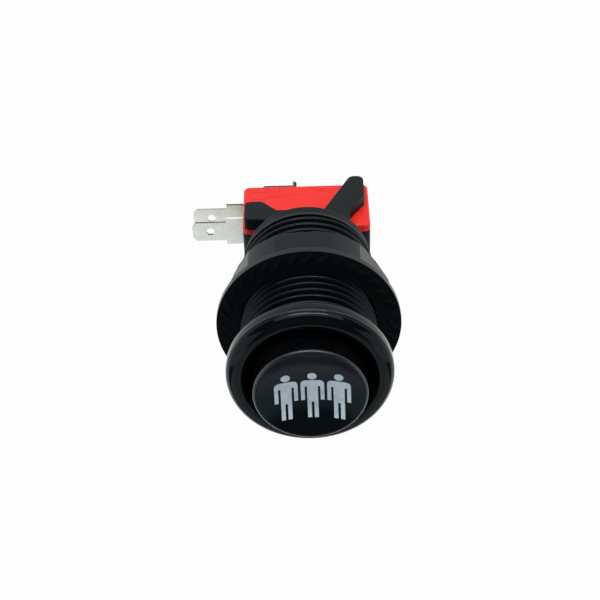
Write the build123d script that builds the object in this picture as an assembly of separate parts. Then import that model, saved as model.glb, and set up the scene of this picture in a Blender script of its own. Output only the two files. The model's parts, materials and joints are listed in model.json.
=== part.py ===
from build123d import *
from math import asin, degrees, radians, sin, sqrt
import os

# Sizes are in millimetres. Z is the button's axis, pointing out of the panel,
# and Z = 0 is the bezel's seat. The switch's cover faces -Y, and its terminals point to +X.

# Bezel
bezel_overhang = 2.5
bezel_rim_height = 1.7
mouth_gap = 1.7
mouth_ledge_height = 1.6
lip_round = 1.1

# Barrel, at its thread's outer diameter, for a 28 mm panel hole
panel_hole_diameter = 28.0
panel_hole_clearance = 0.1
thread_depth = 1.1
barrel_wall = 1.1
barrel_length = 33.5
barrel_end_chamfer = 0.8
floor_thickness = 2.0
socket_depth = 3.0

# Plunger, its guide and its snap hooks
plunger_rim_height = 8.2
plunger_rim_round = 0.6
plunger_rim_land = 0.15
plunger_dish_radius = 22.5
plunger_wall = 1.4
plunger_cap_thickness = 1.8
plunger_travel = 3.6
guide_depth = 9.0
guide_clearance = 0.1
skirt_depth = 12.0
rib_thickness = 1.2
rib_depth = 3.0
stem_diameter = 5.9
stem_clearance = 0.1
hook_reach = 0.35
hook_relief = 0.2
hook_gap = 0.1
hook_angle = 30.0
leg_slot_width = 0.9
leg_slot_length = 6.5

# Return spring
spring_mean_diameter = 8.8
spring_wire = 0.7
spring_turns = 4.5
spring_seat_gap = 0.02
spring_spigot_height = 1.5
spring_spigot_clearance = 0.15

# Panel nut
nut_wall = 3.2
nut_flat_depth = 0.9
nut_flange_overhang = 1.65
nut_flange_thickness = 1.5
nut_height = 10.2
nut_setback = 13.0
nut_clearance = 0.1
nut_turn = 2.9
tooth_count = 36
tooth_length = 2.6
tooth_width = 0.9
tooth_height = 0.4
tooth_slant = -45.0
tooth_margin = 1.55

# Switch holder
holder_ring_thickness = 2.7
holder_ring_setback = 0.45
holder_opening_diameter = 12.0
spigot_length = 2.6
spigot_wall = 1.5
spigot_clearance = 0.05
socket_wall = 1.25
latch_reach = 0.6
latch_width = 4.0
latch_height = 1.4
latch_clearance = 0.1
arm_thickness = 2.85
arm_clearance = 0.05
pin_length = 3.0
pin_clearance = 0.05
arm_root_left = 9.4
arm_root_right = 9.0
arm_round = 1.0
finger_width = 3.0
finger_overhang = 1.8
finger_tip_reach = 1.8
finger_tip_round = 1.45
finger_elbow_rise = 1.0
finger_bend_rise = 5.4
throat_left = 3.9
throat_right = 6.4
throat_rise = 0.5
lobe_overhang = 2.3
lobe_inset = 1.5
lobe_front_reach = 3.85
lobe_rear_reach = 3.0
lobe_round = 1.3
lobe_corner_round = 0.8

# Snap-action switch
switch_length = 27.8
switch_depth = 15.9
switch_thickness = 10.3
switch_setback = 4.6
switch_wall = 1.5
switch_corner_round = 1.3
cover_thickness = 1.9
cover_edge_chamfer = 0.35
cover_rim_height = 0.5
cover_rim_width = 0.8
cover_rim_clearance = 0.1
mounting_hole_diameter = 3.1
mounting_hole_inset = 2.8
mounting_boss_wall = 1.35

# Switch actuator
actuator_length = 3.4
actuator_inset = 0.3
actuator_rise = 1.6
actuator_travel = 1.3
actuator_flange = 0.7
actuator_flange_height = 0.8
actuator_foot_width = 2.4
actuator_clearance = 0.05
press_clearance = 0.1

# Terminals and contacts
sheet_thickness = 0.5
bend_radius = 0.6
slit_clearance = 0.05
tab_width = 4.8
tab_length = 7.5
tab_corner = 0.9
tab_hole_diameter = 1.8
tab_hole_inset = 4.0
shoulder_width = 6.9
shoulder_length = 4.0
strip_gap = 0.25
blade_offset = 1.0
terminal_pitch = 5.2
common_leg_x = 2.3
common_leg_length = 4.1
common_run_gap = 0.35
contact_inset = 6.4
contact_diameter = 2.8
contact_height = 1.2
contact_clearance = 0.07
pad_overhang = 1.9

# Moving blade and snap spring
pivot_inset = 6.9
pivot_gap = 0.05
blade_thickness = 0.3
blade_inset = 0.5
blade_tail = 0.6
blade_nose = 1.6
blade_window_width = 1.8
blade_window_length = 7.0
moving_contact_diameter = 2.6
moving_contact_height = 1.2
rivet_diameter = 1.3
rivet_clearance = 0.05
leaf_thickness = 0.2
leaf_clearance = 0.2
leaf_drop = 1.9
anchor_offset = 4.4
anchor_gap = 0.6

# Radii and levels that follow from those sizes
thread_radius = panel_hole_diameter / 2 - panel_hole_clearance
root_radius = thread_radius - thread_depth
chamber_radius = root_radius - barrel_wall
plunger_radius = chamber_radius - hook_relief - hook_reach
guide_radius = plunger_radius + guide_clearance
mouth_radius = plunger_radius + mouth_gap
bezel_radius = panel_hole_diameter / 2 + bezel_overhang
bezel_outer_round = bezel_radius - mouth_radius - lip_round
bezel_crest = bezel_rim_height + bezel_outer_round
stem_radius = stem_diameter / 2
stem_hole_radius = stem_radius + stem_clearance
spring_radius = spring_mean_diameter / 2
spring_seat_radius = spring_radius + spring_wire / 2
nut_bore_radius = thread_radius + nut_clearance
nut_body_radius = nut_bore_radius + nut_wall
nut_flat_radius = nut_body_radius - nut_flat_depth
nut_flange_radius = nut_body_radius + nut_flange_overhang
socket_radius = root_radius - socket_wall
spigot_radius = socket_radius - spigot_clearance
barrel_end = -barrel_length
floor_bottom = barrel_end + socket_depth
floor_top = floor_bottom + floor_thickness
latch_level = barrel_end + spigot_length / 2
ring_bottom = barrel_end - holder_ring_thickness
switch_front = ring_bottom - switch_setback
switch_rear = switch_front - switch_depth
switch_middle = (switch_front + switch_rear) / 2
switch_end = switch_length / 2
switch_half = switch_thickness / 2
cover_joint = cover_thickness - switch_half
cavity_depth = switch_thickness - cover_thickness - switch_wall
hole_x = switch_end - mounting_hole_inset
front_hole_z = switch_front - mounting_hole_inset
rear_hole_z = switch_rear + mounting_hole_inset
hole_radius = mounting_hole_diameter / 2
mounting_holes = ((hole_x, front_hole_z), (-hole_x, rear_hole_z))
strip_width = 2 * (-cover_joint - cover_rim_height - strip_gap)
actuator_width = strip_width - 2 * actuator_inset
actuator_top = switch_front + actuator_rise
stem_bottom = actuator_top - actuator_travel + press_clearance + plunger_travel
blade_level = switch_middle - blade_offset
closed_level = blade_level + terminal_pitch / 2
open_level = blade_level - terminal_pitch / 2
contact_x = switch_end - contact_inset
contact_space = terminal_pitch - sheet_thickness - 2 * contact_height
contact_swing = contact_space - moving_contact_height - 2 * contact_clearance
pivot_x = pivot_inset - switch_end
pivot_level = blade_level - blade_thickness / 2 - pivot_gap - sheet_thickness / 2
anchor_x = pivot_x + anchor_offset
blade_tilt = degrees(asin(contact_swing / 2 / (contact_x - pivot_x)))
blade_width = strip_width - 2 * blade_inset
leaf_width = blade_window_width - 2 * leaf_clearance
common_run_level = switch_rear + switch_wall + common_run_gap + sheet_thickness / 2
common_tab_level = switch_rear - common_leg_length


def section(*lines):
    return make_face([edge for line in lines for edge in line.edges()])


def turned(*lines):
    return revolve(Plane.XZ * section(*lines), Axis.Z)


def slab(sketch, front, depth):
    return extrude(Plane.XZ.offset(-front) * sketch, -depth)


def ribbon(path, width):
    return extrude(Plane.XZ * trace(path, sheet_thickness), width / 2, both=True)


def at_blade_rest(piece):
    hinge = Axis((pivot_x, 0, pivot_level), (0, 1, 0))
    return piece.rotate(hinge, -blade_tilt)


def latch_pair(margin=0.0):
    reach = latch_reach + margin
    width = latch_width + 2 * margin
    wedge = Plane.XZ * Polygon(
        (spigot_radius - spigot_wall / 2, latch_level - latch_height / 2 - margin),
        (spigot_radius + reach, latch_level - latch_height / 2 - margin),
        (spigot_radius, latch_level + latch_height / 2 + margin),
        (spigot_radius - spigot_wall / 2, latch_level + latch_height / 2 + margin),
        align=None,
    )
    latch = extrude(wedge, width / 2, both=True)
    return [Rot(0, 0, turn) * latch for turn in (0, 180)]


def threaded_body():
    lip_level = bezel_crest - lip_round
    crest_radius = mouth_radius + lip_round
    spigot_top = floor_top + spring_spigot_height
    spring_spigot_radius = spring_radius - spring_wire / 2 - spring_spigot_clearance
    funnel_bottom = mouth_ledge_height - (mouth_radius - guide_radius)
    shell = turned(
        Polyline((bezel_radius, 0), (bezel_radius, bezel_rim_height)),
        CenterArc((crest_radius, bezel_rim_height), bezel_outer_round, 0, 90),
        CenterArc((crest_radius, lip_level), lip_round, 90, 90),
        Polyline(
            (mouth_radius, lip_level),
            (mouth_radius, mouth_ledge_height),
            (guide_radius, funnel_bottom),
            (guide_radius, -guide_depth),
            (chamber_radius, -guide_depth),
            (chamber_radius, floor_top),
            (spring_spigot_radius, floor_top),
            (spring_spigot_radius, spigot_top),
            (stem_hole_radius, spigot_top),
            (stem_hole_radius, floor_bottom),
            (socket_radius, floor_bottom),
            (socket_radius, barrel_end),
            (thread_radius - barrel_end_chamfer, barrel_end),
            (thread_radius, barrel_end + barrel_end_chamfer),
            (thread_radius, 0),
            (bezel_radius, 0),
        ),
    )
    return shell - latch_pair(latch_clearance)


def cap_underside(dish_centre, radius):
    return dish_centre - sqrt(plunger_dish_radius**2 - radius**2) - plunger_cap_thickness


def plunger():
    inner_radius = plunger_radius - plunger_wall
    dish_edge = plunger_radius - plunger_rim_round - plunger_rim_land
    dish_centre = plunger_rim_height + sqrt(plunger_dish_radius**2 - dish_edge**2)
    outer_underside = cap_underside(dish_centre, inner_radius)
    half = section(
        Polyline(
            (0, plunger_rim_height),
            (plunger_radius, plunger_rim_height),
            (plunger_radius, -skirt_depth),
            (inner_radius, -skirt_depth),
            (inner_radius, outer_underside),
            (spring_seat_radius, cap_underside(dish_centre, spring_seat_radius)),
            (spring_seat_radius, -skirt_depth),
            (stem_radius, -skirt_depth),
            (stem_radius, stem_bottom),
            (0, stem_bottom),
            close=True,
        ),
    )
    rim = half.vertices().sort_by_distance((plunger_radius, plunger_rim_height))[0]
    cap = revolve(Plane.XZ * fillet(rim, plunger_rim_round), Axis.Z)
    rib_height = outer_underside + plunger_cap_thickness / 2 + rib_depth
    rib = Pos(0, 0, -rib_depth) * Box(
        2 * inner_radius + plunger_wall,
        rib_thickness,
        rib_height,
        align=(Align.CENTER, Align.CENTER, Align.MIN),
    )
    hook_top = -guide_depth - hook_gap
    hook_root = plunger_radius - plunger_wall / 2
    hook = revolve(
        Plane.XZ
        * Polygon(
            (hook_root, hook_top),
            (plunger_radius + hook_reach, hook_top),
            (plunger_radius + hook_reach, hook_top - hook_reach),
            (plunger_radius, -skirt_depth),
            (hook_root, -skirt_depth),
            align=None,
        ),
        Axis.Z,
        hook_angle,
    )
    slot = Pos(plunger_radius, 0, -skirt_depth) * Box(
        4 * plunger_wall,
        leg_slot_width,
        leg_slot_length,
        align=(Align.CENTER, Align.CENTER, Align.MIN),
    )
    slot_angle = hook_angle / 2 + degrees(leg_slot_width / plunger_radius)
    cap += [rib, Rot(0, 0, 90) * rib]
    cap += [Rot(0, 0, turn - hook_angle / 2) * hook for turn in (0, 180)]
    cap -= [Rot(0, 0, turn + side * slot_angle) * slot for turn in (0, 180) for side in (-1, 1)]
    return cap - Pos(0, 0, dish_centre) * Sphere(plunger_dish_radius)


def coil(mean_radius, wire, bottom, top, turns):
    rise = top - bottom - wire
    path = Helix(rise / turns, rise, mean_radius, center=(0, 0, bottom + wire / 2))
    profile_plane = Plane(origin=path @ 0, x_dir=(1, 0, 0), z_dir=path % 0)
    return sweep(profile_plane * RegularPolygon(wire / 2, 4), path=path, is_frenet=True)


def return_spring():
    bottom = floor_top + spring_seat_gap
    top = -skirt_depth - spring_seat_gap
    return coil(spring_radius, spring_wire, bottom, top, spring_turns)


def serration():
    tooth = Plane.YZ * Polygon(
        (-tooth_width / 2, -tooth_height),
        (tooth_width / 2, -tooth_height),
        (tooth_width / 2, 0),
        (-tooth_width / 2, tooth_height),
        align=None,
    )
    ridge = Rot(0, 0, tooth_slant) * extrude(tooth, tooth_length / 2, both=True)
    places = PolarLocations(nut_flange_radius - tooth_margin, tooth_count)
    return [Pos(0, 0, -nut_setback) * place * ridge for place in places]


def panel_nut():
    front = -nut_setback
    rear = front - nut_height
    flange_back = front - nut_flange_thickness
    blank = turned(
        Polyline(
            (nut_bore_radius, front),
            (nut_flange_radius, front),
            (nut_flange_radius, flange_back),
            (nut_body_radius, flange_back),
            (nut_body_radius, rear + nut_flat_depth),
            (nut_flat_radius, rear),
            (nut_bore_radius, rear),
            close=True,
        )
    )
    hexagon = RegularPolygon(nut_flat_radius, 6, major_radius=False, rotation=nut_turn)
    around_hexagon = Circle(2 * nut_flange_radius) - hexagon
    return blank - extrude(Pos(0, 0, rear) * around_hexagon, flange_back - rear) + serration()


def arm_outline():
    ring_root = ring_bottom + holder_ring_thickness / 2
    outer_x = -hole_x - finger_overhang
    tip_z = rear_hole_z - finger_tip_reach
    lobe_x = hole_x + lobe_overhang
    lobe_rear = front_hole_z - lobe_rear_reach
    lobe_front = front_hole_z + lobe_front_reach
    elbow = (-arm_root_left, front_hole_z + finger_elbow_rise)
    bend = (outer_x, rear_hole_z + finger_bend_rise)
    tip_outer = (outer_x, tip_z)
    tip_inner = (outer_x + finger_width, tip_z)
    throat_start = (-throat_left, front_hole_z + throat_rise)
    throat_end = (throat_right, front_hole_z + throat_rise)
    lobe_inner = (hole_x - lobe_inset, lobe_rear)
    lobe_outer = (lobe_x, lobe_rear)
    lobe_corner = (lobe_x, lobe_front)
    lobe_root = (arm_root_right, lobe_front)
    outline = section(
        Polyline((arm_root_right, ring_root), (-arm_root_left, ring_root), elbow, bend),
        Polyline(bend, tip_outer, tip_inner, throat_start, throat_end),
        Polyline(throat_end, lobe_inner, lobe_outer, lobe_corner, lobe_root),
        Polyline(lobe_root, (arm_root_right, ring_root)),
    )
    rounds = (
        (tip_outer, finger_tip_round),
        (tip_inner, finger_tip_round),
        (bend, arm_round),
        (elbow, arm_round),
        (lobe_inner, lobe_round),
        (lobe_outer, lobe_round),
        (lobe_corner, lobe_corner_round),
    )
    for corner, radius in rounds:
        outline = fillet(outline.vertices().sort_by_distance(corner)[0], radius)
    return outline


def switch_holder():
    ring_radius = thread_radius - holder_ring_setback
    opening_radius = holder_opening_diameter / 2
    spigot_top = barrel_end + spigot_length
    ring = turned(
        Polyline(
            (opening_radius, ring_bottom),
            (ring_radius, ring_bottom),
            (ring_radius, barrel_end),
            (spigot_radius, barrel_end),
            (spigot_radius, spigot_top),
            (spigot_radius - spigot_wall, spigot_top),
            (spigot_radius - spigot_wall, barrel_end),
            (opening_radius, barrel_end),
            close=True,
        )
    )
    inner_face = switch_half + arm_clearance
    arm = slab(arm_outline(), -inner_face - arm_thickness, arm_thickness)
    pin_sketch = [Pos(x, z) * Circle(hole_radius - pin_clearance) for x, z in mounting_holes]
    pin_reach = pin_length + arm_thickness / 2
    pins = [slab(pin, -inner_face - arm_thickness / 2, pin_reach) for pin in pin_sketch]
    arm += pins
    return ring + arm + mirror(arm, about=Plane.XZ) + latch_pair()


def switch_outline():
    return Pos(0, switch_middle) * RectangleRounded(switch_length, switch_depth, switch_corner_round)


def cavity_outline(margin=0.0):
    length = switch_length - 2 * (switch_wall + margin)
    depth = switch_depth - 2 * (switch_wall + margin)
    outline = Pos(0, switch_middle) * Rectangle(length, depth)
    boss_radius = hole_radius + mounting_boss_wall + margin
    return outline - [Pos(x, z) * Circle(boss_radius) for x, z in mounting_holes]


def hole_cutters():
    return [
        slab(Pos(x, z) * Circle(hole_radius), -switch_thickness, 2 * switch_thickness)
        for x, z in mounting_holes
    ]


def terminal_slits():
    height = sheet_thickness + 2 * slit_clearance
    reach = 2 * switch_wall
    depth = strip_width / 2 + slit_clearance - cover_joint
    side = [Pos(switch_end, level) * Rectangle(reach, height) for level in (closed_level, open_level)]
    rear = Pos(common_leg_x, switch_rear) * Rectangle(height, reach)
    return [slab(slit, cover_joint, depth) for slit in (*side, rear)]


def switch_base():
    base = slab(switch_outline(), cover_joint, switch_thickness - cover_thickness)
    base -= slab(cavity_outline(), cover_joint, cavity_depth)
    base -= hole_cutters() + terminal_slits()
    window = Box(
        actuator_length + 2 * actuator_clearance,
        actuator_width + 2 * actuator_clearance,
        4 * switch_wall,
    )
    return base - Pos(0, 0, switch_front) * window


def switch_cover():
    cover = slab(switch_outline(), -switch_half, cover_thickness)
    outer_face = cover.faces().sort_by(Axis.Y)[0]
    cover = chamfer(outer_face.edges(), cover_edge_chamfer)
    rim_outside = cavity_outline(cover_rim_clearance)
    rim_inset = 2 * (switch_wall + cover_rim_clearance + cover_rim_width)
    rim_inside = Pos(0, switch_middle) * Rectangle(switch_length - rim_inset, switch_depth - rim_inset)
    cover += slab(rim_outside - rim_inside, cover_joint, cover_rim_height)
    return cover - hole_cutters()


def switch_actuator():
    head_base = switch_front - switch_wall - actuator_clearance
    flange_bottom = head_base - actuator_flange_height
    pressed_drop = (actuator_foot_width / 2 - pivot_x) * sin(radians(blade_tilt))
    blade_top = blade_level + blade_thickness / 2
    foot_bottom = blade_top - pressed_drop + actuator_travel + 2 * press_clearance
    half = actuator_length / 2
    flange_half = half + actuator_flange
    foot_half = actuator_foot_width / 2
    profile = section(
        Polyline(
            (half, actuator_top - half / 2),
            (half, head_base),
            (flange_half, head_base),
            (flange_half, flange_bottom),
            (foot_half, flange_bottom),
            (foot_half, foot_bottom),
            (-foot_half, foot_bottom),
            (-foot_half, flange_bottom),
            (-flange_half, flange_bottom),
            (-flange_half, head_base),
            (-half, head_base),
            (-half, actuator_top - half / 2),
        ),
        ThreePointArc((-half, actuator_top - half / 2), (0, actuator_top), (half, actuator_top - half / 2)),
    )
    return slab(profile, -actuator_width / 2, actuator_width)


def tab_outline(start_x):
    tip = start_x + tab_length
    half = tab_width / 2
    blade = Polygon(
        (start_x, -half),
        (tip - tab_corner, -half),
        (tip, tab_corner - half),
        (tip, half - tab_corner),
        (tip - tab_corner, half),
        (start_x, half),
        align=None,
    )
    return blade - Pos(tip - tab_hole_inset, 0) * Circle(tab_hole_diameter / 2)


def sheet(outline, level):
    return extrude(Pos(0, 0, level) * outline, sheet_thickness / 2, both=True)


def side_terminal(level):
    pad_start = contact_x - pad_overhang
    shoulder_start = switch_end + slit_clearance
    shoulder_end = switch_end + shoulder_length
    strip = Rectangle(shoulder_start - pad_start, strip_width, align=(Align.MIN, Align.CENTER))
    shoulder = Rectangle(shoulder_end - shoulder_start, shoulder_width, align=(Align.MIN, Align.CENTER))
    outline = Pos(pad_start, 0) * strip + Pos(shoulder_start, 0) * shoulder + tab_outline(shoulder_end)
    return sheet(outline, level)


def common_terminal():
    tab_start = common_leg_x + bend_radius
    inside = FilletPolyline(
        (common_leg_x, switch_rear - slit_clearance),
        (common_leg_x, common_run_level),
        (pivot_x, common_run_level),
        (pivot_x, pivot_level),
        radius=bend_radius,
    )
    outside = FilletPolyline(
        (common_leg_x, switch_rear - slit_clearance),
        (common_leg_x, common_tab_level),
        (tab_start, common_tab_level),
        radius=bend_radius,
    )
    leaf_end = blade_level - blade_thickness / 2 - leaf_thickness - leaf_drop
    anchor = Line((anchor_x, common_run_level), (anchor_x, leaf_end - anchor_gap))
    edge_sketch = Pos(pivot_x, pivot_level) * Circle(sheet_thickness / 2)
    knife_edge = slab(edge_sketch, -strip_width / 2, strip_width)
    terminal = ribbon(inside, strip_width) + ribbon(outside, shoulder_width)
    terminal += [ribbon(anchor, leaf_width), knife_edge, sheet(tab_outline(tab_start), common_tab_level)]
    return terminal


def fixed_contact(level, side):
    disc = Cylinder(contact_diameter / 2, contact_height)
    return Pos(contact_x, 0, level + side * (sheet_thickness + contact_height) / 2) * disc


def moving_blade():
    length = contact_x + blade_nose - (pivot_x - blade_tail)
    outline = Pos(pivot_x - blade_tail, 0) * Rectangle(length, blade_width, align=(Align.MIN, Align.CENTER))
    window_x = (pivot_x + contact_x) / 2
    outline -= Pos(window_x, 0) * Rectangle(blade_window_length, blade_window_width)
    outline -= Pos(contact_x, 0) * Circle(rivet_diameter / 2 + rivet_clearance)
    blade = extrude(Pos(0, 0, blade_level) * outline, blade_thickness / 2, both=True)
    return at_blade_rest(blade)


def moving_contact():
    head_height = (moving_contact_height - blade_thickness) / 2
    head_level = (moving_contact_height - head_height) / 2
    head = Cylinder(moving_contact_diameter / 2, head_height)
    shank = Cylinder(rivet_diameter / 2, moving_contact_height - head_height)
    rivet = shank + [Pos(0, 0, side * head_level) * head for side in (-1, 1)]
    return at_blade_rest(Pos(contact_x, 0, blade_level) * rivet)


def snap_spring():
    top = blade_level - blade_thickness / 2 - leaf_thickness
    bottom = top - leaf_drop
    window_end = (pivot_x + contact_x + blade_window_length) / 2
    bow = ThreePointArc((anchor_x, bottom), ((anchor_x + window_end) / 2, bottom), (window_end, top))
    leaf = extrude(Plane.XZ * trace(bow, leaf_thickness), leaf_width / 2, both=True)
    return at_blade_rest(leaf)


pieces = {
    "threaded_body": threaded_body(),
    "plunger": plunger(),
    "return_spring": return_spring(),
    "panel_nut": panel_nut(),
    "switch_holder": switch_holder(),
    "switch_base": switch_base(),
    "switch_cover": switch_cover(),
    "switch_actuator": switch_actuator(),
    "normally_closed_terminal": side_terminal(closed_level),
    "normally_open_terminal": side_terminal(open_level),
    "common_terminal": common_terminal(),
    "normally_closed_contact": fixed_contact(closed_level, -1),
    "normally_open_contact": fixed_contact(open_level, 1),
    "moving_blade": moving_blade(),
    "moving_contact": moving_contact(),
    "snap_spring": snap_spring(),
}

os.makedirs("parts", exist_ok=True)
for node, piece in pieces.items():
    export_step(piece, f"parts/{node}.step")
print("blade swing in degrees", round(2 * blade_tilt, 3), "about x, z", pivot_x, round(pivot_level, 3))
print("floor of the spring", round(floor_top, 3), "stem end", round(stem_bottom, 3))
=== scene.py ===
import json
import math

import bmesh
import bpy
from mathutils import Matrix, Vector

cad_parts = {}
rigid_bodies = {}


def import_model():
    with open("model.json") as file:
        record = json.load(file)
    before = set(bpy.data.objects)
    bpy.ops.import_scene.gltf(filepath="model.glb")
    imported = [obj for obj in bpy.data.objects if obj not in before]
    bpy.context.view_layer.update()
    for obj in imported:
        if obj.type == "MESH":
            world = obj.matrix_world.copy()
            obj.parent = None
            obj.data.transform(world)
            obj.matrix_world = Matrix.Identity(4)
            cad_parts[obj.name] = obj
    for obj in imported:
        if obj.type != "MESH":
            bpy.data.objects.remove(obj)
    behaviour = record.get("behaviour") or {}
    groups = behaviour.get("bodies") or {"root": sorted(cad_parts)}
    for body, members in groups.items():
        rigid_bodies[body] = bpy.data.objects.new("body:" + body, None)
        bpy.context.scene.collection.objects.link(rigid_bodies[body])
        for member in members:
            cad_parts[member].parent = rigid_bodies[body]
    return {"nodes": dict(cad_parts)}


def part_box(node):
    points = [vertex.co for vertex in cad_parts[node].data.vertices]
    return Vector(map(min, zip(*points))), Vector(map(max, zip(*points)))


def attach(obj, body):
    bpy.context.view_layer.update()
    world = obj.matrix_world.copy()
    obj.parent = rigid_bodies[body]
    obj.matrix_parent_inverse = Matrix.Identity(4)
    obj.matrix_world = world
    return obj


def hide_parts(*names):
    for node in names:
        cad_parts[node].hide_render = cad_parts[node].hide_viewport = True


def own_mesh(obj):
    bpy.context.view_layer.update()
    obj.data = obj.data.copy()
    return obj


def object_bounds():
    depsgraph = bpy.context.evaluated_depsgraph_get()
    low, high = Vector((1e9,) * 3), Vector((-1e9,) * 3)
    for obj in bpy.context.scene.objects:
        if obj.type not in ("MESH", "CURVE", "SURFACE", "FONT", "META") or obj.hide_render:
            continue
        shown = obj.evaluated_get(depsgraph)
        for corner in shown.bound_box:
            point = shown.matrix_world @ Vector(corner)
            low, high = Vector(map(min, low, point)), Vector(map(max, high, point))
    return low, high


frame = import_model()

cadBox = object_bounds()  # lowest and highest corner of the solids
mm = 0.001
nodes = frame["nodes"]


# Shader maths

class Wire:  # an output socket that takes part in Python sums
    def __init__(self, tree, socket=None):
        self.tree = tree
        self.socket = socket

    def node(self, kind, settings=None, inputs=None, out=0):
        made = self.tree.nodes.new(kind)
        for name, value in (settings or {}).items():
            setattr(made, name, value)
        for key, value in (inputs or {}).items():
            if isinstance(value, Wire):
                self.tree.links.new(value.socket, made.inputs[key])
            else:
                made.inputs[key].default_value = value
        return Wire(self.tree, made.outputs[out] if made.outputs else None)

    def math(self, operation, *values):
        return self.node("ShaderNodeMath", {"operation": operation}, dict(enumerate(values)))

    def __add__(self, other):
        return self.math("ADD", self, other)

    def __radd__(self, other):
        return self.math("ADD", other, self)

    def __sub__(self, other):
        return self.math("SUBTRACT", self, other)

    def __rsub__(self, other):
        return self.math("SUBTRACT", other, self)

    def __mul__(self, other):
        return self.math("MULTIPLY", self, other)

    def __rmul__(self, other):
        return self.math("MULTIPLY", other, self)

    def __truediv__(self, other):
        return self.math("DIVIDE", self, other)

    def __rtruediv__(self, other):
        return self.math("DIVIDE", other, self)

    def smooth(self, low, high):  # 0 below low, 1 above high
        ends = {"Value": self, "From Min": low, "From Max": high}
        return self.node("ShaderNodeMapRange", {"interpolation_type": "SMOOTHSTEP"}, ends)


def blankFinish(name):
    finish = bpy.data.materials.new(name)
    finish.use_nodes = True
    finish.node_tree.nodes.clear()
    return finish, Wire(finish.node_tree)


def surface(start, sockets):
    shader = start.node("ShaderNodeBsdfPrincipled", None, sockets)
    start.node("ShaderNodeOutputMaterial", None, {"Surface": shader})


def millimetres(start):  # the piece's own coordinates
    place = start.node("ShaderNodeTexCoord", out="Object")
    return place.node("ShaderNodeVectorMath", {"operation": "SCALE"}, {0: place, "Scale": 1 / mm})


def axes(place):
    return [place.node("ShaderNodeSeparateXYZ", None, {0: place}, out) for out in range(3)]


def span(across, along):  # distance from 0, 0, which is the barrel's axis for x and y
    return across.math("SQRT", across * across + along * along)


def stretch(place, factors):
    return place.node("ShaderNodeVectorMath", {"operation": "MULTIPLY"}, {0: place, 1: factors})


def cloud(place, scale, detail, roughness=0.5):
    inputs = {"Vector": place, "Scale": scale, "Detail": detail, "Roughness": roughness}
    return place.node("ShaderNodeTexNoise", None, inputs)


def blendColour(share, first, second):  # each colour is a triple or a socket
    first, second = [tone if isinstance(tone, Wire) else (*tone, 1) for tone in (first, second)]
    sockets = {0: share, 6: first, 7: second}  # the node's colour sockets are 6, 7 and, going out, 2
    return share.node("ShaderNodeMix", {"data_type": "RGBA"}, sockets, 2)


def relief(height, depth=1.0):  # height times depth is in millimetres
    return height.node("ShaderNodeBump", None, {"Height": height, "Distance": depth * mm})


# Finishes; lengths are millimetres, and a scale counts the noise's waves in a millimetre

noiseMiddle = 0.5
coarseNoise = 0.6  # roughness of a noise with crisp detail
toneSpread = (0.3, 0.7)  # noise values between which a finish goes from its one tone to the other

glossLook = {
    "dark": (0.0010, 0.0014, 0.0018), "light": (0.0020, 0.0027, 0.0034),
    "broadScale": 0.16, "peelScale": 1.9, "hairStretch": (0.35, 7.0, 2.6), "hairSpread": (0.66, 0.74),
    "gloss": 0.10, "dullGloss": 0.26, "dullBetween": (-0.6, 0.0),
    "haze": 0.10, "hazeMiddle": 0.4, "hairlines": 0.14, "peel": 0.004,
    "level": 0.18, "tint": (0.70, 0.92, 1.0),
    "seamHeight": 2.2, "seamHalf": 0.24, "seamRise": 0.078,
}
plungerLook = {  # worn softer by fingers, with a polished rim
    **glossLook, "gloss": 0.23, "dullGloss": 0.25, "dullBetween": (-9.4, -8.8),
    "tint": (0.50, 0.83, 1.0), "seamHeight": -11.0,
    "polish": 1.0, "polishRough": 0.34, "rimRadius": 10.55, "rimHeight": 7.4, "rimFade": 0.25,
}


def glossBlack(name, look):
    finish, start = blankFinish(name)
    place = millimetres(start)
    x, y, height = axes(place)
    broad = cloud(place, look["broadScale"], detail=3)
    peel = cloud(place, look["peelScale"], detail=2) * look["peel"]
    hair = cloud(stretch(place, look["hairStretch"]), scale=1.0, detail=4, roughness=coarseNoise)
    scratches = hair.smooth(*look["hairSpread"]) * look["hairlines"]
    dull = 1 - height.smooth(*look["dullBetween"])
    shine = look["gloss"] + dull * (look["dullGloss"] - look["gloss"])
    aside = height.math("ABSOLUTE", height - look["seamHeight"])
    seam = 1 - aside.math("MINIMUM", aside / look["seamHalf"], 1.0)  # the mould's parting line
    sockets = {
        "Base Color": blendColour(broad.smooth(*toneSpread), look["dark"], look["light"]),
        "Roughness": shine + look["haze"] * (broad - look["hazeMiddle"]) + scratches,
        "Normal": relief(peel + seam * look["seamRise"]),
        "Specular IOR Level": look["level"],
        "Specular Tint": (*look["tint"], 1),
    }
    if "polish" in look:
        rim = span(x, y).smooth(look["rimRadius"], look["rimRadius"] + look["rimFade"])
        rim = rim * height.smooth(look["rimHeight"], look["rimHeight"] + look["rimFade"])
        sockets["Coat Weight"] = rim * look["polish"]
        sockets["Coat Roughness"] = look["polishRough"]
    surface(start, sockets)
    return finish


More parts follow.
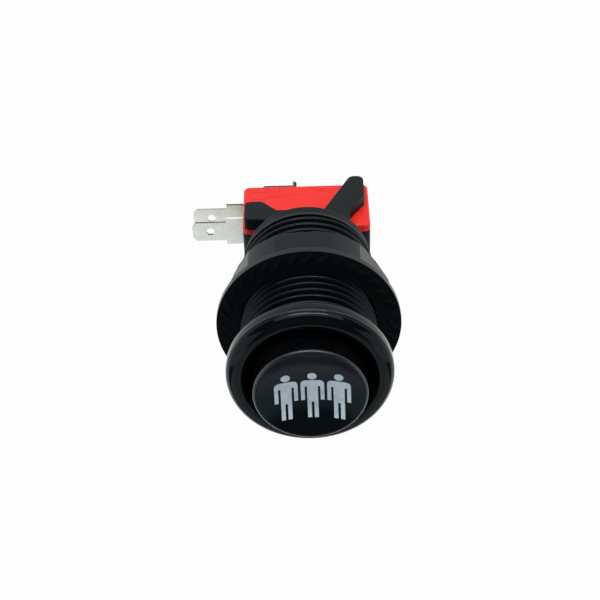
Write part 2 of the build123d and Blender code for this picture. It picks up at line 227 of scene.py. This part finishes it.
satinShared = {
    # radiusFade and the last fade shape the bands of painted highlight
    "broadScale": 0.22, "grainRough": 0.10, "heightFade": 0.08, "radiusFade": 0.2, "highlightFade": 0.3,
}
satinLooks = {
    "nutSatin": {
        "dark": (0.0008, 0.0014, 0.0017), "light": (0.0018, 0.0026, 0.0030),
        "rough": 0.19, "vary": 0.10, "grain": 0.005, "grainScale": 7.0,
        "level": 0.19, "tint": (0.66, 0.93, 1.0),
        "matteAbove": -13.1, "matte": 0.76,  # serrated front face
        "wornBeyond": 18.3, "wornBetween": (-30.0, -13.1), "worn": (0.014, 0.019, 0.020),  # painted highlight on the flange rim, a lighter band of colour
    },
    "holderMatte": {
        "dark": (0.0030, 0.0044, 0.0050), "light": (0.0064, 0.0084, 0.0094),
        "rough": 0.50, "vary": 0.16, "grain": 0.012, "grainScale": 5.5,
        "level": 0.15, "tint": (0.70, 0.94, 1.0),
        "wornBeyond": 13.0, "wornBetween": (-34.35, -33.0), "worn": (0.024, 0.028, 0.029),  # painted highlight on the ring edge, a lighter band of colour
    },
    "switchBaseBlack": {
        "dark": (0.0050, 0.0062, 0.0070), "light": (0.0096, 0.0112, 0.0122),
        "rough": 0.46, "vary": 0.14, "grain": 0.008, "grainScale": 8.0,
        "level": 0.2, "tint": (0.80, 0.95, 1.0),
    },
}


def satinBlack(name, look, shared):
    finish, start = blankFinish(name)
    place = millimetres(start)
    x, y, height = axes(place)
    broad = cloud(place, shared["broadScale"], detail=4)
    grain = cloud(place, look["grainScale"], detail=3, roughness=coarseNoise)
    colour = blendColour(broad.smooth(*toneSpread), look["dark"], look["light"])
    rough = look["rough"] + look["vary"] * (broad - noiseMiddle)
    rough = rough + shared["grainRough"] * (grain - noiseMiddle)
    if "matte" in look:
        front = height.smooth(look["matteAbove"], look["matteAbove"] + shared["heightFade"])
        rough = rough + front * look["matte"]
    # painted highlight: a lighter band of colour on a rim, standing in for the light its edge catches
    if "worn" in look:
        low, high = look["wornBetween"]
        rim = span(x, y).smooth(look["wornBeyond"], look["wornBeyond"] + shared["radiusFade"])
        rim = rim * height.smooth(low, low + shared["highlightFade"])
        rim = rim * (1 - height.smooth(high, high + shared["heightFade"]))
        colour = blendColour(rim, colour, look["worn"])
    surface(start, {
        "Base Color": colour,
        "Roughness": rough,
        "Normal": relief(grain, look["grain"]),
        "Specular IOR Level": look["level"],
        "Specular Tint": (*look["tint"], 1),
    })
    return finish


coverLook = {
    "deep": (0.90, 0.022, 0.017), "bright": (0.97, 0.032, 0.025), "engraved": (0.56, 0.012, 0.010),
    "rough": 0.40, "vary": 0.14, "grainRough": 0.12, "level": 0.25,
    "broadScale": 0.2, "grainScale": 6.5, "grain": 0.009,
    "face": -5.10, "faceFade": 0.05,
    "strokeHalf": 0.11, "strokeFade": 0.04, "strokeDepth": 0.05, "strokeTone": 0.75,
    "strokes": (  # a plain change-over contact diagram, x and z of each stroke's ends
        (12.0, -51.6, 8.6, -51.6), (8.6, -51.6, 8.6, -52.1),
        (12.0, -54.2, 8.6, -54.2), (8.6, -54.2, 8.6, -53.7),
        (8.3, -52.3, 2.4, -53.3), (2.4, -53.3, 0.9, -53.3),
        (-2.2, -54.3, -4.0, -54.3), (-4.7, -54.3, -6.3, -54.3),
    ),
}


def strokeMask(x, z, look):
    nearest = None
    for x1, z1, x2, z2 in look["strokes"]:
        dx, dz = x2 - x1, z2 - z1
        along = ((x - x1) * dx + (z - z1) * dz) / (dx * dx + dz * dz)
        along = along.math("MINIMUM", along.math("MAXIMUM", along, 0.0), 1.0)
        reach = span(x - x1 - along * dx, z - z1 - along * dz)
        nearest = reach if nearest is None else x.math("MINIMUM", reach, nearest)
    half, fade = look["strokeHalf"], look["strokeFade"]
    return 1 - nearest.smooth(half - fade, half + fade)


def coverRed(name, look):
    finish, start = blankFinish(name)
    place = millimetres(start)
    x, y, z = axes(place)
    broad = cloud(place, look["broadScale"], detail=4)
    grain = cloud(place, look["grainScale"], detail=3, roughness=coarseNoise)
    stroke = strokeMask(x, z, look) * (1 - y.smooth(look["face"], look["face"] + look["faceFade"]))
    plain = blendColour(broad.smooth(*toneSpread), look["deep"], look["bright"])
    rough = look["rough"] + look["vary"] * (broad - noiseMiddle)
    rough = rough + look["grainRough"] * (grain - noiseMiddle)
    surface(start, {
        "Base Color": blendColour(stroke * look["strokeTone"], plain, look["engraved"]),
        "Roughness": rough,
        "Normal": relief(grain * look["grain"] - stroke * look["strokeDepth"]),
        "Specular IOR Level": look["level"],
    })
    return finish


actuatorLook = {
    "deep": (0.42, 0.018, 0.016), "bright": (0.56, 0.030, 0.026), "rough": 0.24, "vary": 0.12,
    "broadScale": 0.5, "grainScale": 5.0, "grain": 0.004,
}


def actuatorRed(name, look):
    finish, start = blankFinish(name)
    place = millimetres(start)
    broad = cloud(place, look["broadScale"], detail=3)
    grain = cloud(place, look["grainScale"], detail=2)
    surface(start, {
        "Base Color": blendColour(broad.smooth(*toneSpread), look["deep"], look["bright"]),
        "Roughness": look["rough"] + look["vary"] * (broad - noiseMiddle),
        "Normal": relief(grain, look["grain"]),
    })
    return finish


metalShared = {
    "blotchScale": 0.55, "spotScale": 2.4, "spotSpread": (0.62, 0.72), "spotDark": 0.5, "spotRough": 0.12,
    "streakPart": 0.55, "metalSpread": (0.32, 0.62), "cutTurn": (0.55, 0.85), "tabFade": 0.1,
}
tinLook = {
    "dark": (0.82, 0.83, 0.75), "light": (0.97, 0.98, 0.91), "rough": 0.40, "vary": 0.20,
    "marks": (0.25, 6.0, 6.0), "relief": 0.004, "spots": 0.4, "tabFrom": 17.9,
}
# marks stretches the rolling marks along X, Y and Z; cut is painted light and shade on the pressed
# edges, a highlight on the front terminal and shade on the rest; the tab colour paints shade past tabFrom
# on X
metalLooks = {
    "frontTin": {**tinLook, "cut": (0.95, 0.96, 0.88), "tabEdgeShade": (0.12, 0.125, 0.085)},
    "rearTin": {**tinLook, "cut": (0.06, 0.062, 0.044), "tabEdgeShade": (0.42, 0.425, 0.375)},
    "commonTin": {
        "dark": (0.70, 0.71, 0.64), "light": (0.90, 0.91, 0.84), "cut": (0.024, 0.025, 0.020),
        "rough": 0.46, "vary": 0.20, "marks": (0.25, 6.0, 6.0), "relief": 0.004, "spots": 0.4,
    },
    "springSteel": {
        "dark": (0.32, 0.32, 0.33), "light": (0.62, 0.62, 0.63), "cut": (0.32, 0.32, 0.33),
        "rough": 0.30, "vary": 0.20, "marks": (3.0, 3.0, 3.0), "relief": 0.003, "spots": 0.3,
    },
    "copperBlade": {
        "dark": (0.52, 0.27, 0.14), "light": (0.80, 0.47, 0.28), "cut": (0.50, 0.26, 0.13),
        "rough": 0.32, "vary": 0.20, "marks": (0.3, 7.0, 7.0), "relief": 0.003, "spots": 0.5,
    },
    "silverContact": {
        "dark": (0.66, 0.66, 0.63), "light": (0.90, 0.90, 0.88), "cut": (0.66, 0.66, 0.63),
        "rough": 0.34, "vary": 0.18, "marks": (4.0, 4.0, 4.0), "relief": 0.003, "spots": 0.4,
    },
}


def rolledMetal(name, look, shared):
    finish, start = blankFinish(name)
    place = millimetres(start)
    streak = cloud(stretch(place, look["marks"]), scale=1.0, detail=4, roughness=coarseNoise)
    blotch = cloud(place, shared["blotchScale"], detail=4, roughness=coarseNoise)
    spot = cloud(place, shared["spotScale"], detail=2).smooth(*shared["spotSpread"]) * look["spots"]
    tone = shared["streakPart"] * streak + (1 - shared["streakPart"]) * blotch
    tone = tone.smooth(*shared["metalSpread"]) * (1 - shared["spotDark"] * spot)
    side = axes(start.node("ShaderNodeTexCoord", out="Normal"))[1]
    cut = side.math("ABSOLUTE", side).smooth(*shared["cutTurn"])  # the edges that the press cut through, which carry painted light and shade
    # painted light and shade on the pressed edges: a highlight on the front terminal, shade on the others
    edgeLightShade = look["cut"]
    if "tabEdgeShade" in look:
        tabFrom, fade = look["tabFrom"], shared["tabFade"]
        edgeLightShade = blendColour(axes(place)[0].smooth(tabFrom - fade, tabFrom + fade), edgeLightShade, look["tabEdgeShade"])
    surface(start, {
        "Base Color": blendColour(cut, blendColour(tone, look["dark"], look["light"]), edgeLightShade),
        "Metallic": 1.0,
        "Roughness": look["rough"] + look["vary"] * (streak - noiseMiddle) + shared["spotRough"] * spot,
        "Normal": relief(streak, look["relief"]),
    })
    return finish


inkLook = {
    "thin": (0.46, 0.58, 0.66), "full": (0.63, 0.73, 0.80), "rough": 0.42, "vary": 0.2,
    "broadScale": 0.7, "grainScale": 8.0, "grainNoise": 0.65, "grain": 0.006,
    "broadPart": 0.6, "inkSpread": (0.34, 0.58),
}


def printInk(name, look):
    finish, start = blankFinish(name)
    place = millimetres(start)
    broad = cloud(place, look["broadScale"], detail=3)
    grain = cloud(place, look["grainScale"], detail=3, roughness=look["grainNoise"])
    cover = look["broadPart"] * broad + (1 - look["broadPart"]) * grain
    surface(start, {
        "Base Color": blendColour(cover.smooth(*look["inkSpread"]), look["thin"], look["full"]),
        "Roughness": look["rough"] + look["vary"] * (grain - noiseMiddle),
        "Normal": relief(grain, look["grain"]),
    })
    return finish


finishes = {
    "bodyGloss": glossBlack("bodyGloss", glossLook),
    "plungerGloss": glossBlack("plungerGloss", plungerLook),
    "coverRed": coverRed("coverRed", coverLook),
    "actuatorRed": actuatorRed("actuatorRed", actuatorLook),
    "printInk": printInk("printInk", inkLook),
}
finishes.update({name: satinBlack(name, look, satinShared) for name, look in satinLooks.items()})
finishes.update({name: rolledMetal(name, look, metalShared) for name, look in metalLooks.items()})
print("finishes:", ", ".join(finishes))


# Meshes

creaseTurn = 32  # degrees; an edge that turns further is a crease, shaded sharp or rounded
joinGrid = 1e5  # steps in a millimetre; points on the same step are one


def newPiece(name, mesh, body, finish, sharpTurn=creaseTurn):
    piece = bpy.data.objects.new(name, mesh)
    bpy.context.scene.collection.objects.link(piece)
    mesh.materials.clear()
    mesh.materials.append(finishes[finish])
    mesh.shade_smooth()
    mesh.set_sharp_from_angle(angle=math.radians(sharpTurn))
    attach(piece, body)
    return piece


def arcPoints(centre, radius, start, end, steps):  # degrees, centre as radius and height
    turns = [math.radians(start + (end - start) * i / steps) for i in range(steps + 1)]
    return [(centre[0] + radius * math.cos(t), centre[1] + radius * math.sin(t)) for t in turns]


class Shell:  # gathers faces and joins points that fall together
    def __init__(self):
        self.points = []
        self.places = {}
        self.faces = []

    def point(self, x, y, z):
        key = tuple(round(c * joinGrid) for c in (x, y, z))
        if key not in self.places:
            self.places[key] = len(self.points)
            self.points.append((x * mm, y * mm, z * mm))
        return self.places[key]

    def face(self, corners):
        kept = []
        for corner in corners:
            if corner not in kept:
                kept.append(corner)
        if len(kept) > 2:
            self.faces.append(kept)

    def mesh(self, name):
        made = bpy.data.meshes.new(name)
        made.from_pydata(self.points, [], self.faces)
        made.validate()
        return made


bodyShape = {  # millimetres, radii and heights of the half-section
    "rimHeight": 1.7, "outerRound": 2.55, "lipRound": 1.1, "seatRound": 0.18,
    "outerSteps": 14, "lipSteps": 9, "seatSteps": 3, "columns": 180,
    "mouthLedge": 1.6, "guide": 11.25, "guideDepth": 9.0, "chamber": 11.7,
    "floorTop": -28.5, "springSpigot": 3.9, "spigotTop": -27.0, "stemHole": 3.05,
    "floorBottom": -30.5, "socket": 11.55, "endChamfer": 0.8,
    "pocketTop": -31.5, "pocketBottom": -33.0, "pocketEdge": 0.02, "pocketDepth": 0.65, "pocketHalf": 2.1,
}
threadShape = {
    "outside": 13.9, "depth": 1.1, "pitch": 2.0, "crestHeight": -3.7, "crestTurn": 270.0, "spareTurns": 3,
    "plainAbove": -2.2, "fullBelow": -2.9, "plainBelow": -32.7, "fullAbove": -32.5,
    "flank": (  # distance from the crest along the barrel, share of the depth
        (0.82, 1.0), (0.68, 0.86), (0.52, 0.44), (0.37, 0.17), (0.19, 0.035), (0.0, 0.0),
    ),
}


def ramp(value, low, high):
    share = min(1.0, max(0.0, (value - low) / (high - low)))
    return share * share * (3 - 2 * share)


def threadColumn(angle, thread):  # radius and height of each point, from the barrel's end up
    low, high = thread["plainBelow"], thread["plainAbove"]
    lead = thread["pitch"] * (angle - thread["crestTurn"]) / 360
    count = int((high - low) / thread["pitch"]) + thread["spareTurns"]
    flank = thread["flank"]
    ridge = [(-along, share) for along, share in flank] + list(flank[-2::-1])
    column = []
    for turn in range(-count, thread["spareTurns"]):
        for along, share in ridge:
            height = thread["crestHeight"] + lead + turn * thread["pitch"] + along
            height = min(high, max(low, height))
            fade = ramp(height, low, thread["fullAbove"]) * (1 - ramp(height, thread["fullBelow"], high))
            column.append((thread["outside"] - thread["depth"] * share * fade, height))
    return column


def bodyProfile(shape, thread, bezelRadius, barrelEnd):  # from the bezel's seat over the lip and inside
    crestRadius = bezelRadius - shape["outerRound"]
    mouth = crestRadius - shape["lipRound"]
    lipHeight = shape["rimHeight"] + shape["outerRound"] - shape["lipRound"]
    seat = shape["seatRound"]
    guideTop = shape["mouthLedge"] - (mouth - shape["guide"])
    points = [(thread["outside"], 0)]
    points += arcPoints((bezelRadius - seat, seat), seat, -90, 0, shape["seatSteps"])
    points += arcPoints((crestRadius, shape["rimHeight"]), shape["outerRound"], 0, 90, shape["outerSteps"])
    points += arcPoints((crestRadius, lipHeight), shape["lipRound"], 90, 180, shape["lipSteps"])[1:]
    points += [(mouth, shape["mouthLedge"]), (shape["guide"], guideTop)]
    points += [(shape["guide"], -shape["guideDepth"]), (shape["chamber"], -shape["guideDepth"])]
    points += [(shape["chamber"], shape["floorTop"]), (shape["springSpigot"], shape["floorTop"])]
    points += [(shape["springSpigot"], shape["spigotTop"]), (shape["stemHole"], shape["spigotTop"])]
    points += [(shape["stemHole"], shape["floorBottom"]), (shape["socket"], shape["floorBottom"])]
    points += [(shape["socket"], shape["pocketTop"]), (shape["socket"], shape["pocketBottom"])]
    points += [(shape["socket"], shape["pocketBottom"] - shape["pocketEdge"])]
    points += [(shape["socket"], barrelEnd), (thread["outside"] - shape["endChamfer"], barrelEnd)]
    return points


def threadedBody(shape, thread):
    low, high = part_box("threaded_body")
    profile = bodyProfile(shape, thread, high.x / mm, low.z / mm)
    pocket = profile.index((shape["socket"], shape["pocketBottom"]))  # the latch pockets' deepest row
    shell = Shell()
    columns = []
    for i in range(shape["columns"] + 1):
        angle = 360 * i / shape["columns"]
        across, along = math.cos(math.radians(angle)), math.sin(math.radians(angle))
        column = []
        for row, (radius, height) in enumerate(profile + threadColumn(angle, thread)):
            if row == pocket and abs(radius * along) < shape["pocketHalf"]:
                radius += shape["pocketDepth"]
            column.append(shell.point(radius * across, radius * along, height))
        columns.append(column + column[:1])
    for left, right in zip(columns, columns[1:]):
        for row in range(len(left) - 1):
            shell.face((left[row], right[row], right[row + 1], left[row + 1]))
    piece = newPiece("threadedBody", shell.mesh("threadedBody"), "housing", "bodyGloss")
    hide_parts("threaded_body")


threadedBody(bodyShape, threadShape)
print("threaded body: lathe-turned with its helical thread")


springShape = {"meanRadius": 4.4, "wire": 0.66, "turns": 4.5, "steps": 40, "sides": 12, "travel": 3.6}


def returnSpring(shape):
    low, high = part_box("return_spring")
    bottom = low.z / mm + shape["wire"] / 2
    rise = (high.z - low.z) / mm - shape["wire"]
    count = int(shape["turns"] * shape["steps"])
    shell = Shell()
    rings = []
    for i in range(count + 1):
        turn = 2 * math.pi * i / shape["steps"]
        ring = []
        for side in range(shape["sides"]):
            around = 2 * math.pi * side / shape["sides"]
            radius = shape["meanRadius"] + shape["wire"] / 2 * math.cos(around)
            height = bottom + rise * i / count + shape["wire"] / 2 * math.sin(around)
            ring.append(shell.point(radius * math.cos(turn), radius * math.sin(turn), height))
        rings.append(ring)
    for near, far in zip(rings, rings[1:]):
        for side in range(shape["sides"]):
            after = (side + 1) % shape["sides"]
            shell.face((near[side], far[side], far[after], near[after]))
    shell.face(rings[0])
    shell.face(rings[-1][::-1])
    piece = newPiece("returnSpring", shell.mesh("returnSpring"), "housing", "springSteel")
    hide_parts("return_spring")
    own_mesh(piece)


returnSpring(springShape)


# Moulded and stamped pieces keep the solids' form and get their small edge rounds

roundShape = {"weld": 0.0005, "flatTurn": 0.3, "segments": 2}  # millimetres and degrees
edgeRounds = {  # node: body, slot, finish, round in millimetres, turn above which an edge is sharp
    "panel_nut": ("nut", "black_satin", "nutSatin", 0.12, 12),
    "switch_holder": ("housing", "black_satin", "holderMatte", 0.16, creaseTurn),
    "switch_base": ("housing", "switch_black", "switchBaseBlack", 0.10, creaseTurn),
    "switch_cover": ("housing", "switch_red", "coverRed", 0.10, creaseTurn),
    "switch_actuator": ("actuator", "actuator_red", "actuatorRed", 0.12, creaseTurn),
    "normally_closed_terminal": ("housing", "tinned_brass", "frontTin", 0.05, creaseTurn),
    "normally_open_terminal": ("housing", "tinned_brass", "rearTin", 0.05, creaseTurn),
    "common_terminal": ("housing", "tinned_brass", "commonTin", 0.05, creaseTurn),
}


def softEdged(node, shape, body, slotName, finish, width, sharpTurn):
    words = node.split("_")
    name = words[0] + "".join(word.capitalize() for word in words[1:])
    mesh = nodes[node].data.copy()
    mesh.name = name
    solid = bmesh.new()
    solid.from_mesh(mesh)
    bmesh.ops.remove_doubles(solid, verts=solid.verts[:], dist=shape["weld"] * mm)
    flat = math.radians(shape["flatTurn"])
    bmesh.ops.dissolve_limit(solid, angle_limit=flat, verts=solid.verts[:], edges=solid.edges[:])
    solid.to_mesh(mesh)
    solid.free()
    piece = newPiece(name, mesh, body, finish, sharpTurn)
    soften = piece.modifiers.new("edgeRound", "BEVEL")
    soften.width = width * mm
    soften.segments = shape["segments"]
    soften.limit_method = "ANGLE"
    soften.angle_limit = math.radians(creaseTurn)
    soften.use_clamp_overlap = False
    level = piece.modifiers.new("faceNormals", "WEIGHTED_NORMAL")
    level.keep_sharp = True
    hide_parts(node)


for node, values in edgeRounds.items():
    softEdged(node, roundShape, *values)
print("soft edges on", len(edgeRounds), "moulded and stamped pieces")


nodeFinishes = {
    "plunger": "plungerGloss",
    "normally_closed_contact": "silverContact",
    "normally_open_contact": "silverContact",
    "moving_contact": "silverContact",
    "moving_blade": "copperBlade",
    "snap_spring": "copperBlade",
}
for node, finish in nodeFinishes.items():
    for holder in nodes[node].material_slots:
        holder.material = finishes[finish]
print("finishes on the solids that show as they are:", len(nodeFinishes))


# Printed figures on the dished face

figureShape = {  # millimetres, on the face, from the figure's collar down
    "headRadius": 0.91, "headRise": 1.13, "halfWidth": 2.28, "shoulderRound": 0.95,
    "armWidth": 0.76, "armLength": 4.93, "armpitDrop": 1.62, "torsoHalf": 1.06,
    "crotchDrop": 5.40, "height": 8.75, "legGapHalf": 0.25, "shoulderSteps": 10, "headSteps": 40,
}
printPlace = {  # collar is the middle figure's
    "collar": (-0.36, -1.90), "spacing": 5.12, "turn": 0.66, "count": 3,
    "dishRadius": 22.5, "dishEdge": 10.4, "thickness": 0.03, "cell": 0.5, "weld": 0.001,
}


def figureOutline(shape):  # one loop for the body, u to the right and v up
    half, bend = shape["halfWidth"], shape["shoulderRound"]
    armInner = half - shape["armWidth"]
    right = arcPoints((half - bend, -bend), bend, 90, 0, shape["shoulderSteps"])
    right += [(half, -shape["armLength"]), (armInner, -shape["armLength"])]
    right += [(armInner, -shape["armpitDrop"])]
    right += [(shape["torsoHalf"], -shape["armpitDrop"]), (shape["torsoHalf"], -shape["height"])]
    right += [(shape["legGapHalf"], -shape["height"]), (shape["legGapHalf"], -shape["crotchDrop"])]
    return right + [(-u, v) for u, v in reversed(right)]


def filledSheet(loops):
    curve = bpy.data.curves.new("printOutline", "CURVE")
    curve.dimensions = "2D"
    curve.fill_mode = "FRONT"
    for loop in loops:
        line = curve.splines.new("POLY")
        line.points.add(len(loop) - 1)
        for point, (x, y) in zip(line.points, loop):
            point.co = (x, y, 0, 1)
        line.use_cyclic_u = True
    holder = bpy.data.objects.new("printOutline", curve)
    bpy.context.scene.collection.objects.link(holder)
    graph = bpy.context.evaluated_depsgraph_get()
    mesh = bpy.data.meshes.new_from_object(holder.evaluated_get(graph))
    bpy.data.objects.remove(holder)
    return mesh


def printedFigures(shape, place):
    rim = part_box("plunger")[1].z / mm
    dishCentre = rim + math.sqrt(place["dishRadius"] ** 2 - place["dishEdge"] ** 2)
    head = arcPoints((0, shape["headRise"]), shape["headRadius"], 0, 360, shape["headSteps"])[:-1]
    turn = Matrix.Rotation(math.radians(180 + place["turn"]), 2)  # the heads point to -Y
    collar = Vector(place["collar"])
    loops = []
    for i in range(place["count"]):
        aside = (i - (place["count"] - 1) / 2) * place["spacing"]
        for loop in (head, figureOutline(shape)):
            loops.append([tuple(collar + turn @ Vector((u + aside, v))) for u, v in loop])
    mesh = filledSheet(loops)
    sheet = bmesh.new()
    sheet.from_mesh(mesh)
    steps = int(2 * place["dishEdge"] / place["cell"])
    for i in range(steps):
        cut = -place["dishEdge"] + i * place["cell"]
        for normal in ((1, 0, 0), (0, 1, 0)):
            everything = sheet.verts[:] + sheet.edges[:] + sheet.faces[:]
            bmesh.ops.bisect_plane(sheet, geom=everything, plane_co=Vector(normal) * cut, plane_no=normal)
    bmesh.ops.remove_doubles(sheet, verts=sheet.verts[:], dist=place["weld"])
    upper = bmesh.ops.extrude_face_region(sheet, geom=sheet.faces[:])["geom"]
    lifted = {vert for vert in upper if isinstance(vert, bmesh.types.BMVert)}
    for vert in sheet.verts:
        x, y = vert.co.x, vert.co.y
        dish = dishCentre - math.sqrt(place["dishRadius"] ** 2 - x * x - y * y)
        rise = place["thickness"] if vert in lifted else -place["thickness"]
        vert.co = Vector((x, y, dish + rise)) * mm
    bmesh.ops.recalc_face_normals(sheet, faces=sheet.faces[:])
    sheet.to_mesh(mesh)
    sheet.free()
    mesh.name = "printedFigures"
    newPiece("printedFigures", mesh, "button", "printInk")


printedFigures(figureShape, printPlace)
print("print: three standing figures on the dished face")


# Floor, light and camera

floorLook = {  # gap in millimetres below the part; half of the side, and the paper's waves, in metres
    "gap": 0.4, "half": 6.0, "pale": 0.86, "fleck": 0.985, "white": 0.975,
    "paperScale": 40.0, "paperSpread": (0.2, 0.8),
}


def paleFloor(look):
    finish, start = blankFinish("paleFloor")
    place = start.node("ShaderNodeTexCoord", out="Object")
    paper = cloud(place, look["paperScale"], detail=4).smooth(*look["paperSpread"])
    tone = blendColour(paper, (look["pale"] * look["fleck"],) * 3, (look["pale"],) * 3)
    diffuse = start.node("ShaderNodeBsdfDiffuse", None, {"Color": tone})
    white = start.node("ShaderNodeEmission", None, {"Color": (1, 1, 1, 1), "Strength": 1.0})
    kinds = ("Camera", "Glossy", "Transmission")
    rays = [start.node("ShaderNodeLightPath", out=f"Is {kind} Ray") for kind in kinds]
    seen = start.math("MAXIMUM", start.math("MAXIMUM", rays[0], rays[1]), rays[2])
    mixed = start.node("ShaderNodeMixShader", None, {0: seen * look["white"], 1: diffuse, 2: white})
    start.node("ShaderNodeOutputMaterial", None, {"Surface": mixed})
    half = look["half"]
    height = cadBox[0].z - look["gap"] * mm
    mesh = bpy.data.meshes.new("paleFloor")
    corners = [(x * half, y * half, height) for x, y in ((-1, -1), (1, -1), (1, 1), (-1, 1))]
    mesh.from_pydata(corners, [], [(0, 1, 2, 3)])
    mesh.materials.append(finish)
    floor = bpy.data.objects.new("paleFloor", mesh)
    bpy.context.scene.collection.objects.link(floor)


coolWhite = (0.98, 0.99, 1.0)
skyWhite = (0.94, 0.98, 1.0)
dayWhite = (0.96, 0.99, 1.0)
plainWhite = (1.0, 1.0, 1.0)
lamps = {  # place, width and height in metres; glow is the panel's brightness
    "frontStrip": {"place": (0.0, -0.70, 0.09), "size": (0.55, 0.035), "glow": 31.0, "tint": coolWhite},
    "frontFill": {"place": (0.0, -0.80, 0.18), "size": (1.30, 0.48), "glow": 1.8, "tint": coolWhite},
    "topPanel": {"place": (0.05, -0.20, 0.65), "size": (0.60, 0.50), "glow": 0.12, "tint": skyWhite},
    "leftPanel": {"place": (0.60, 0.05, 0.30), "size": (0.50, 0.60), "glow": 0.9, "tint": plainWhite},
    "rightPanel": {"place": (-0.60, 0.05, 0.30), "size": (0.50, 0.60), "glow": 0.9, "tint": plainWhite},
    "backPanel": {"place": (0.0, 0.65, 0.60), "size": (2.00, 0.95), "glow": 0.72, "tint": dayWhite},
}
roomLook = {"tint": (0.90, 0.96, 1.0), "strength": 0.14}


def softLight(name, look, aim):
    width, height = look["size"]
    lamp = bpy.data.lights.new(name, "AREA")
    lamp.shape = "RECTANGLE"
    lamp.size, lamp.size_y = width, height
    lamp.energy = look["glow"] * math.pi * width * height
    lamp.color = look["tint"]
    holder = bpy.data.objects.new(name, lamp)
    holder.location = look["place"]
    holder.rotation_euler = (Vector(aim) - Vector(look["place"])).to_track_quat("-Z", "Y").to_euler()
    bpy.context.scene.collection.objects.link(holder)


def room(look):
    world = bpy.data.worlds.new("room")
    world.use_nodes = True
    back = world.node_tree.nodes["Background"]
    back.inputs["Color"].default_value = (*look["tint"], 1)
    back.inputs["Strength"].default_value = look["strength"]
    bpy.context.scene.world = world


cameraLook = {  # millimetres and radians; the photograph has the switch at the top, so its up is -Z
    "place": (-0.82, -179.75, 205.77), "aim": (1.74, 0.10, -21.68), "up": (0, 0, -1), "roll": -0.016,
    "lens": 83.45, "sensor": 36, "near": 10, "far": 50000,
}


def photoCamera(look):
    camera = bpy.data.cameras.new("photoCamera")
    camera.sensor_width = look["sensor"]
    camera.lens = look["lens"]
    camera.clip_start, camera.clip_end = look["near"] * mm, look["far"] * mm
    place, aim = Vector(look["place"]) * mm, Vector(look["aim"]) * mm
    forward = (aim - place).normalized()
    right = forward.cross(Vector(look["up"])).normalized()
    up = right.cross(forward)
    level = Matrix((right, up, -forward)).transposed()
    holder = bpy.data.objects.new("photoCamera", camera)
    turned = level @ Matrix.Rotation(look["roll"], 3, "Z")
    holder.matrix_world = Matrix.Translation(place) @ turned.to_4x4()
    bpy.context.scene.collection.objects.link(holder)
    bpy.context.scene.camera = holder


paleFloor(floorLook)
centre = (cadBox[0] + cadBox[1]) / 2
for name, look in lamps.items():
    softLight(name, look, centre)
room(roomLook)
photoCamera(cameraLook)
bpy.context.scene.view_settings.view_transform = "Standard"
print("stage: floor,", len(lamps), "lamps and the camera")
